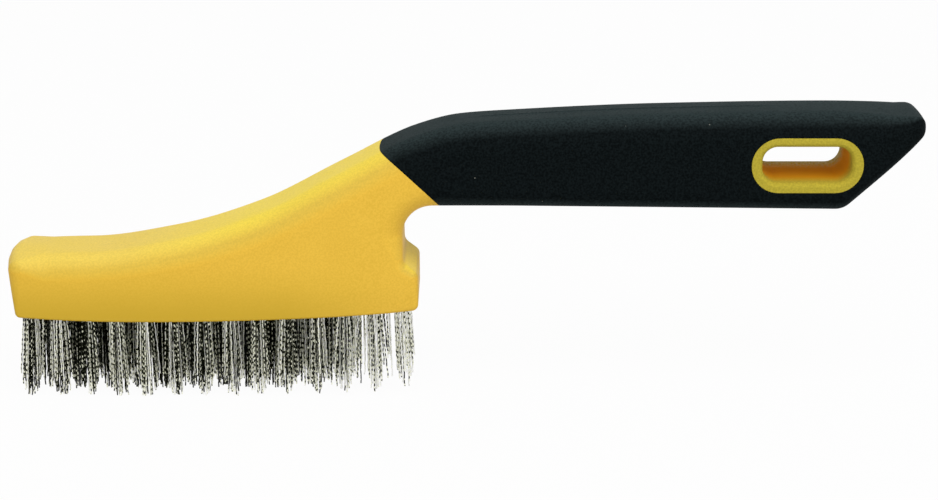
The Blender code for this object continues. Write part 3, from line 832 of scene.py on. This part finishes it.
def wire_row_tree():
    """Geometry Nodes that grow crimped wires from the points of a mesh, one tuft a point."""
    tree = bpy.data.node_groups.new("crimped_wire_row", "GeometryNodeTree")
    kinds = {"Holes": "Geometry", "Steel": "Material"}
    kinds |= dict.fromkeys(("wires", "bends", "seed"), "Int")
    for name in ("Holes", *WIRE_INPUTS, "Steel"):
        kind = "NodeSocket" + kinds.get(name, "Float")
        tree.interface.new_socket(name, in_out="INPUT", socket_type=kind)
    tree.interface.new_socket("Wires", in_out="OUTPUT", socket_type="NodeSocketGeometry")
    given = tree.nodes.new("NodeGroupInput").outputs
    make = Nodes(tree)
    holes, wires, bends, seed = (given[name] for name in ("Holes", "wires", "bends", "seed"))

    def chance(of, low, high, salt):
        """A random number between two values, the same for all that share the number 'of'."""
        values = [(2, low), (3, high), (7, of), (8, make.math("ADD", seed, salt))]
        return make.add("FunctionNodeRandomValue", values, output=1, data_type="FLOAT")

    # Which wire, tuft and point along the wire each point is
    index = make.add("GeometryNodeInputIndex")
    wire = make.math("FLOOR", make.math("DIVIDE", index, bends))
    bend = make.math("MODULO", index, bends)
    down = make.math("DIVIDE", bend, make.math("SUBTRACT", bends, 1))
    tuft = make.math("FLOOR", make.math("DIVIDE", wire, wires))
    seat = make.math("MODULO", wire, wires)
    place = make.add("GeometryNodeInputPosition")
    mouth = make.add(
        "GeometryNodeSampleIndex",
        [("Geometry", holes), ("Value", place), ("Index", tuft)],
        data_type="FLOAT_VECTOR",
    )

    # Seats spiral out from the middle of the hole, and spread a little towards the tips
    radius = make.math("DIVIDE", given["diameter"], 2)
    room = make.math("SUBTRACT", HOLE_RADIUS, radius)
    filled = make.math("DIVIDE", make.math("ADD", seat, 0.5), wires)
    out = make.math("SQRT", filled)
    reach = make.times(room, out, chance(wire, 0.94, 1, 1))
    turn = chance(tuft, 0, math.tau, 2)
    angle = make.line(seat, GOLDEN_ANGLE, turn)
    later = make.math("POWER", down, WIDENING_POWER)
    tuft_spread = chance(tuft, 0.8, 1.15, 3)
    growth = make.times(make.math("SUBTRACT", given["spread"], 1.0), tuft_spread)
    reach = make.times(reach, make.line(later, growth, 1.0))

    # A few wires lean away from their tuft, and each tuft leans a little as a whole
    wild = make.math("POWER", chance(wire, 0, 1, 4), WILD_POWER)
    lean = make.times(wild, given["stray"], later)
    lean_turn = chance(wire, 0, math.tau, 5)
    tuft_lean = make.times(chance(tuft, 0, 0.25, 6), given["stray"], later)
    tuft_turn = chance(tuft, 0, math.tau, 7)

    # Height runs from the root inside the hole to an uneven tip that never passes the ground.
    # The outer wires of a tuft end first, and a whole tuft may be a little short.
    root = make.math("ADD", make.part(mouth, 2), given["root_depth"])
    uneven = make.math("POWER", chance(wire, 0, 1, 8), UNEVEN_POWER)
    tip = make.math("SUBTRACT", make.part(mouth, 2), WIRE_REACH + TIP_OVERRUN)
    uneven = make.math("ADD", uneven, chance(tuft, 0, 1, 16))
    tip = make.line(uneven, given["scatter"], tip)
    tip = make.line(filled, given["point"], tip)
    tip = make.math("MAXIMUM", tip, radius)
    fall = make.math("SUBTRACT", root, tip)
    height = make.math("SUBTRACT", root, make.times(down, fall))

    # The crimp is a wave along the wire, nearly in step all through a tuft
    phase = make.math("ADD", chance(tuft, 0, 1, 9), chance(wire, 0, 0.3, 14))
    pitch = chance(wire, 0.95, 1.05, 10)
    waves = make.math("DIVIDE", make.times(down, fall), given["crimp_length"])
    waves = make.line(waves, pitch, phase)
    wave = make.math("SINE", make.times(waves, math.tau))
    swing = make.times(wave, given["crimp_depth"])
    wave_turn = make.math("ADD", chance(tuft, -0.9, 0.9, 12), chance(wire, -0.5, 0.5, 15))

    # The end tufts fan out, away from the others
    along_row = make.part(mouth, 0)
    fan = make.times(between(make, along_row, *TOE_FAN_ZONE), -TOE_FAN)
    fan = make.line(between(make, along_row, *HEEL_FAN_ZONE), HEEL_FAN, fan)

    moves = ((reach, angle), (lean, lean_turn), (tuft_lean, tuft_turn), (swing, wave_turn))
    sideways = []
    for axis, rule, offset in ((0, "COSINE", fan), (1, "SINE", 0.0)):
        total = make.line(down, offset, make.part(mouth, axis))
        for size, way in moves:
            total = make.line(size, make.math(rule, way), total)
        sideways.append(total)
    path = make.add("ShaderNodeCombineXYZ", enumerate((*sideways, height)))

    size = make.add("GeometryNodeAttributeDomainSize", [("Geometry", holes)])
    count = make.times(size, wires, bends)
    dots = make.add("GeometryNodePoints", [("Count", count), ("Position", path)])
    curves = make.add(
        "GeometryNodePointsToCurves",
        [("Points", dots), ("Curve Group ID", wire), ("Weight", bend)],
    )
    # Towards the heel the wires get fewer, and a painted highlight brightens the rest; painted
    # shade darkens them at the toe
    along_wires = make.part(place, 0)
    missing = make.times(between(make, along_wires, *THINNING_ZONE), given["thinning"])
    tone = make.line(missing, THINNED_TONE, chance(wire, 0, 1, 13))
    tone = make.line(between(make, along_wires, *DARK_TOE_ZONE), TOE_TONE, tone)
    curves = make.add(
        "GeometryNodeStoreNamedAttribute",
        [("Geometry", curves), ("Name", "wire_tone"), ("Value", tone)],
        data_type="FLOAT",
        domain="POINT",
    )
    loss = chance(index, 0, 1, 17)
    curves = make.add(
        "GeometryNodeDeleteGeometry",
        [("Geometry", curves), ("Selection", make.math("LESS_THAN", loss, missing))],
        domain="CURVE",
    )
    section = make.add(
        "GeometryNodeCurvePrimitiveCircle", [("Resolution", 3), ("Radius", radius)], mode="RADIUS"
    )
    solid = make.add(
        "GeometryNodeCurveToMesh",
        [("Curve", curves), ("Profile Curve", section), ("Fill Caps", True)],
    )
    solid = make.add("GeometryNodeSetShadeSmooth", [("Geometry", solid)])
    solid = make.add("GeometryNodeRealizeInstances", [("Geometry", solid)])
    solid = make.add("GeometryNodeSetMaterial", [("Geometry", solid), ("Material", given["Steel"])])
    tree.links.new(solid, tree.nodes.new("NodeGroupOutput").inputs[0])
    return tree


def wire_row(name, row, tree, settings, material):
    """One row of tufts, grown by the tree from the row's hole mouths, as a plain mesh."""
    builder = bmesh.new()
    for mouth in hole_mouths(row):
        builder.verts.new(mouth)
    piece = new_object(name, builder)
    grower = piece.modifiers.new("grow_wires", "NODES")
    grower.node_group = tree
    inputs = [item for item in tree.interface.items_tree if item.in_out == "INPUT"]
    sockets = {item.name: item.identifier for item in inputs}
    for name in WIRE_INPUTS:
        grower[sockets[name]] = getattr(settings, name)
    grower[sockets["seed"]] += SEED_STEP * row
    # The rows with the full number of tufts are thinned less
    if row % 2 == 0:
        grower[sockets["thinning"]] *= FULL_ROW_THINNING
    grower[sockets["Steel"]] = material
    settle(piece)
    return piece


def new_material(name):
    """A material with its shader, a maker of its nodes, and the place on the object."""
    material = bpy.data.materials.new(name)
    material.use_nodes = True
    make = Nodes(material.node_tree)
    shader = make.tree.nodes["Principled BSDF"]
    return material, shader, make, make.add("ShaderNodeTexCoord", output=3)


def plain_noise(make, place, scale, detail):
    values = [("Vector", place), ("Scale", scale), ("Detail", detail)]
    return make.add("ShaderNodeTexNoise", values)


def noise(make, place, scale, detail, low, high):
    """Noise at a place, spread from 0 to 1 between two of its levels."""
    return between(make, plain_noise(make, place, scale, detail), low, high)


def between(make, value, low, high):
    """How far a value has come from the low to the high end, from 0 to 1."""
    values = [("Value", value), ("From Min", low), ("From Max", high)]
    return make.add("ShaderNodeMapRange", values)


def mixed(make, amount, first, second):
    values = [(0, amount), (6, first), (7, second)]
    return make.add("ShaderNodeMix", values, output=2, data_type="RGBA")


def swung(make, amount, middle, swing):
    """A value that swings about its middle with an amount from 0 to 1."""
    return make.line(amount, swing, middle - swing / 2)


def fine_skin(make, place, scale, detail, strength, height):
    """A fine bump all over a surface."""
    grain = plain_noise(make, place, scale, detail)
    values = [("Strength", strength), ("Distance", height), ("Height", grain)]
    return make.add("ShaderNodeBump", values)


def yellow_plastic(looks):
    """Satin moulded plastic with a fine grain. Painted light pales the faces that look up, brighter
    along the neck top, and painted shade darkens the rounding below the top, the head's foot, the
    eyelet ring and the inside of the slot.
    A painted mottled highlight lies on the slot's far lip, and the ring is rougher."""
    material, shader, make, place = new_material("yellow_moulding")
    x, y, z = (make.part(place, axis) for axis in range(3))
    facing = make.part(make.add("ShaderNodeNewGeometry", output=1), 2)
    grain = noise(make, place, *PLASTIC_GRAIN)
    mottle = noise(make, place, *MOTTLE)
    amount = make.line(mottle, MOTTLE_SHARE, make.times(grain, 1 - MOTTLE_SHARE))
    colour = mixed(make, amount, looks.plastic, looks.plastic_deep)

    # Where the painted shade of the rounding below the top goes
    rounding_shade = between(make, facing, *TURNED_FACING)
    # Painted light on the faces that look up, brighter along the neck
    top = mixed(make, between(make, x, *NECK_ZONE), looks.lit_top, looks.lit_neck_top)
    low = between(make, z, *FOOT_RISE)
    ring = between(make, x, *RING_ZONE)
    darker_ring_shade = [level * RING_GRAIN_LEVEL for level in looks.ring_shade]
    deep = between(make, make.math("ABSOLUTE", y), *SLOT_DEPTH)
    back = between(make, y, *SLOT_BACK)
    for amount, tint in (
        (rounding_shade, looks.rounding_shade),
        (between(make, facing, *TOP_FACING), top),
        (make.times(rounding_shade, grain, TOP_GRAIN), (0, 0, 0)),
        # Painted shade towards the head's foot
        (make.times(low, between(make, x, *FOOT_ZONE), FOOT_AMOUNT), looks.foot_shade),
        # Painted shade on the eyelet ring, varied with the grain
        (ring, mixed(make, grain, looks.ring_shade, darker_ring_shade)),
        # Painted shade deep inside the slot
        (make.times(ring, deep), looks.slot_shade),
        # Painted mottled highlight on the slot's far lip
        (make.times(back, noise(make, place, *LIP_HIGHLIGHT_NOISE), ring), looks.lip_highlight),
    ):
        colour = mixed(make, amount, colour, tint)

    patches = noise(make, place, *PLASTIC_PATCHES)
    rough = swung(make, patches, looks.roughness, PATCH_SWING)
    rough = make.math("ADD", rough, make.times(ring, RING_ROUGHNESS))
    shader.inputs["Specular IOR Level"].default_value = PLASTIC_SPECULAR
    skin = fine_skin(make, place, *PLASTIC_SKIN)
    make.fill(shader, [("Base Color", colour), ("Roughness", rough), ("Normal", skin)])
    return material


def black_rubber(looks):
    """Matt soft rubber with a fine grain, a painted sheen where it looks up and painted bounce
    light where it looks down, and a few pale specks of dust."""
    material, shader, make, place = new_material("black_soft_grip")
    fine = noise(make, place, *GRIP_GRAIN)
    lighter = [level * GRIP_GRAIN_LEVEL for level in looks.rubber]
    colour = mixed(make, fine, looks.rubber, lighter)
    facing = make.part(make.add("ShaderNodeNewGeometry", output=1), 2)
    # Painted sheen on the top and painted bounce light underneath
    looks_up = between(make, facing, *GRIP_TOP_FACING)
    looks_down = make.times(between(make, facing, *GRIP_FOOT_FACING), GRIP_FOOT_AMOUNT)
    painted_sheen = make.math("MAXIMUM", looks_up, looks_down)
    painted_sheen = make.times(painted_sheen, swung(make, fine, 1.0, SHEEN_SWING))
    colour = mixed(make, painted_sheen, colour, looks.painted_sheen)
    cells = [("Vector", place), ("Scale", SPECK_CELLS)]
    near = make.math("LESS_THAN", make.add("ShaderNodeTexVoronoi", cells), SPECK_RADIUS)
    cell = make.add("ShaderNodeTexVoronoi", cells, output=1)
    few = make.math("GREATER_THAN", make.part(cell, 0), 1 - SPECK_CHANCE)
    colour = mixed(make, make.times(near, few), colour, looks.dust)
    patches = noise(make, place, *GRIP_PATCHES)
    rough = swung(make, patches, looks.roughness, PATCH_SWING)
    shader.inputs["Specular IOR Level"].default_value = GRIP_SPECULAR
    skin = fine_skin(make, place, *GRIP_SKIN)
    make.fill(shader, [("Base Color", colour), ("Roughness", rough), ("Normal", skin)])
    return material


def crimped_steel(looks):
    """Steel wire, each wire in its own tone from dark to polished. Painted glints brighten the
    crimps in turn down each wire, and painted shade darkens the two inner rows."""
    material, shader, make, place = new_material("crimped_steel_wire")
    wire = make.add("ShaderNodeAttribute", output=2, attribute_name="wire_tone")
    drawn = make.add("ShaderNodeMapping", [("Vector", place), ("Scale", DRAWN_OUT)])
    streak = noise(make, drawn, *STREAKS)
    # Painted glints: a light and dark wave down each wire, as if each crimp caught the light
    start = make.times(wire, GLINT_SHIFT)
    turns = make.line(make.part(place, 2), math.tau / GLINT_PITCH, start)
    tone = make.line(streak, STREAK_TONE, make.times(wire, WIRE_TONE))
    tone = make.line(make.math("SINE", turns), GLINT_TONE, tone)
    # Painted shade on the two inner rows
    inner = between(make, make.math("ABSOLUTE", make.part(place, 1)), *INNER_ROWS_ZONE)
    tone = make.line(inner, INNER_TONE, tone)
    colour = looks.dark
    for step, lighter in (
        (DARK_TO_GREY, looks.middle),
        (GREY_TO_BRIGHT, looks.bright),
        (BRIGHT_TO_POLISHED, looks.polished),
    ):
        colour = mixed(make, between(make, tone, *step), colour, lighter)
    rough = swung(make, streak, looks.roughness, STREAK_SWING)
    shader.inputs["Metallic"].default_value = 1.0
    make.fill(shader, [("Base Color", colour), ("Roughness", rough)])
    return material


def pale_floor(looks):
    """A pale floor that keeps the shadow, and shows near white to the camera and in metal."""
    material, shader, make, place = new_material("pale_floor")
    make.tree.nodes.remove(shader)
    deeper = [level * FLOOR_SHADE for level in looks.floor]
    colour = mixed(make, noise(make, place, *FLOOR_CLOUDS), looks.floor, deeper)
    matt = make.add("ShaderNodeBsdfDiffuse", [("Color", colour)])
    white = make.add("ShaderNodeEmission", [("Color", (1, 1, 1)), ("Strength", 1.0)])
    amount = make.times(seen_directly(make), looks.floor_white)
    both = make.add("ShaderNodeMixShader", [(0, amount), (1, matt), (2, white)])
    make.fill(make.tree.nodes["Material Output"], [("Surface", both)])
    return material


def seen_directly(make):
    """1 for rays from the camera and for those that metal and glass send on, and 0 for others."""
    path = make.tree.nodes.new("ShaderNodeLightPath").outputs
    first = make.math("MAXIMUM", path["Is Camera Ray"], path["Is Glossy Ray"])
    return make.math("MAXIMUM", first, path["Is Transmission Ray"])


def set_world(looks):
    """A white sky for the eye, and an even plain light for the object."""
    world = bpy.data.worlds.new("plain_sky")
    world.use_nodes = True
    make = Nodes(world.node_tree)
    level = make.line(seen_directly(make), 1.0 - looks.sky, looks.sky)
    make.fill(make.tree.nodes["Background"], [("Color", (1, 1, 1)), ("Strength", level)])
    bpy.context.scene.world = world


def add_lamp(name, place, power):
    """A large square lamp that faces the brush."""
    lamp = bpy.data.lights.new(name, "AREA")
    lamp.shape = "SQUARE"
    lamp.size = LAMP_SIZE
    lamp.energy = power
    item = placed(name, lamp)
    item.location = place
    way = Vector(LAMP_TARGET) - Vector(place)
    item.rotation_euler = way.to_track_quat("-Z", "Y").to_euler()


def add_camera(looks):
    camera = bpy.data.cameras.new("photo_camera")
    camera.lens = looks.lens
    item = placed("photo_camera", camera)
    item.location = looks.camera_place
    item.rotation_euler = (looks.camera_tilt, 0, 0)
    bpy.context.scene.camera = item


class SCRATCHBRUSH_OT_moulded_body(Operator):
    """Makes the yellow moulding: head, neck, handle core and eyelet ring"""

    bl_idname = "scratch_brush.moulded_body"
    bl_label = "Moulded body"

    def execute(self, context):
        settings = context.scene.brush_body
        space = parting_block("grip_space", True, 0)
        core = core_solid("handle_core", GRIP_WALL)
        cut_away(space, core, eyelet_column("eyelet_outside", 0))
        slot = slot_column("hanging_slot", settings.seam, settings.seam_width)
        body = brush_envelope("moulded_body")
        cut_away(body, space, slot, tuft_holes("tuft_holes"))
        finish_piece(body, yellow_plastic(settings))
        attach(body, "root")
        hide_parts("brush_body")
        return {"FINISHED"}


class SCRATCHBRUSH_OT_soft_grip(Operator):
    """Makes the black soft grip over the handle, with its mould seam"""

    bl_idname = "scratch_brush.soft_grip"
    bl_label = "Soft grip"

    def execute(self, context):
        settings = context.scene.brush_grip
        grip = brush_envelope("soft_grip_sleeve", settings.seam, settings.seam_width)
        cut_away(
            grip,
            parting_block("front_of_grip", False, FIT_GAP),
            core_solid("core_clearance", GRIP_WALL - FIT_GAP),
            eyelet_column("eyelet_clearance", FIT_GAP),
        )
        finish_piece(grip, black_rubber(settings))
        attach(grip, "root")
        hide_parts("soft_grip")
        return {"FINISHED"}


class SCRATCHBRUSH_OT_wire_rows(Operator):
    """Grows the four rows of crimped steel wire tufts"""

    bl_idname = "scratch_brush.wire_rows"
    bl_label = "Wire rows"

    def execute(self, context):
        settings = context.scene.brush_wires
        tree = wire_row_tree()
        steel = crimped_steel(settings)
        for row in range(TUFT_ROWS):
            piece = wire_row("wire_row_{}".format(row + 1), row, tree, settings, steel)
            lines = range(len(hole_mouths(row)))
            nodes = ["tuft_r{}_{:02d}".format(row + 1, line + 1) for line in lines]
            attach(piece, "root")
            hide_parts(*nodes)
        return {"FINISHED"}


class SCRATCHBRUSH_OT_stage(Operator):
    """Sets the pale floor, the soft lamps, the sky and the camera"""

    bl_idname = "scratch_brush.stage"
    bl_label = "Stage"

    def execute(self, context):
        settings = context.scene.brush_stage
        builder = bmesh.new()
        bmesh.ops.create_grid(builder, x_segments=1, y_segments=1, size=FLOOR_REACH)
        floor = new_object("floor", builder)
        floor.data.materials.append(pale_floor(settings))
        set_world(settings)
        add_lamp("key_lamp", KEY_PLACE, settings.key)
        add_lamp("fill_lamp", FILL_PLACE, settings.fill)
        add_camera(settings)
        context.scene.view_settings.view_transform = "Standard"
        return {"FINISHED"}


class SCRATCHBRUSH_PT_looks(Panel):
    """Lists the pieces of the brush and their sizes and colours"""

    bl_idname = "SCRATCHBRUSH_PT_looks"
    bl_label = "Scratch brush"
    bl_space_type = "VIEW_3D"
    bl_region_type = "UI"
    bl_category = "Scratch brush"

    def draw(self, context):
        for name, settings, operator in GROUPS:
            box = self.layout.box()
            group = getattr(context.scene, name)
            for size in settings.__annotations__:
                box.prop(group, size)
            box.operator(operator.bl_idname)


GROUPS = (
    ("brush_body", BodySettings, SCRATCHBRUSH_OT_moulded_body),
    ("brush_grip", GripSettings, SCRATCHBRUSH_OT_soft_grip),
    ("brush_wires", WireSettings, SCRATCHBRUSH_OT_wire_rows),
    ("brush_stage", StageSettings, SCRATCHBRUSH_OT_stage),
)
CLASSES = (*(made for group in GROUPS for made in group[1:]), SCRATCHBRUSH_PT_looks)


def register():
    for made in CLASSES:
        bpy.utils.register_class(made)
    for name, settings, operator in GROUPS:
        setattr(bpy.types.Scene, name, PointerProperty(type=settings))


def unregister():
    for name, settings, operator in GROUPS:
        delattr(bpy.types.Scene, name)
    for made in reversed(CLASSES):
        bpy.utils.unregister_class(made)


def main():
    register()
    bpy.ops.scratch_brush.moulded_body()
    bpy.ops.scratch_brush.soft_grip()
    bpy.ops.scratch_brush.wire_rows()
    bpy.ops.scratch_brush.stage()


if __name__ == "__main__":
    main()
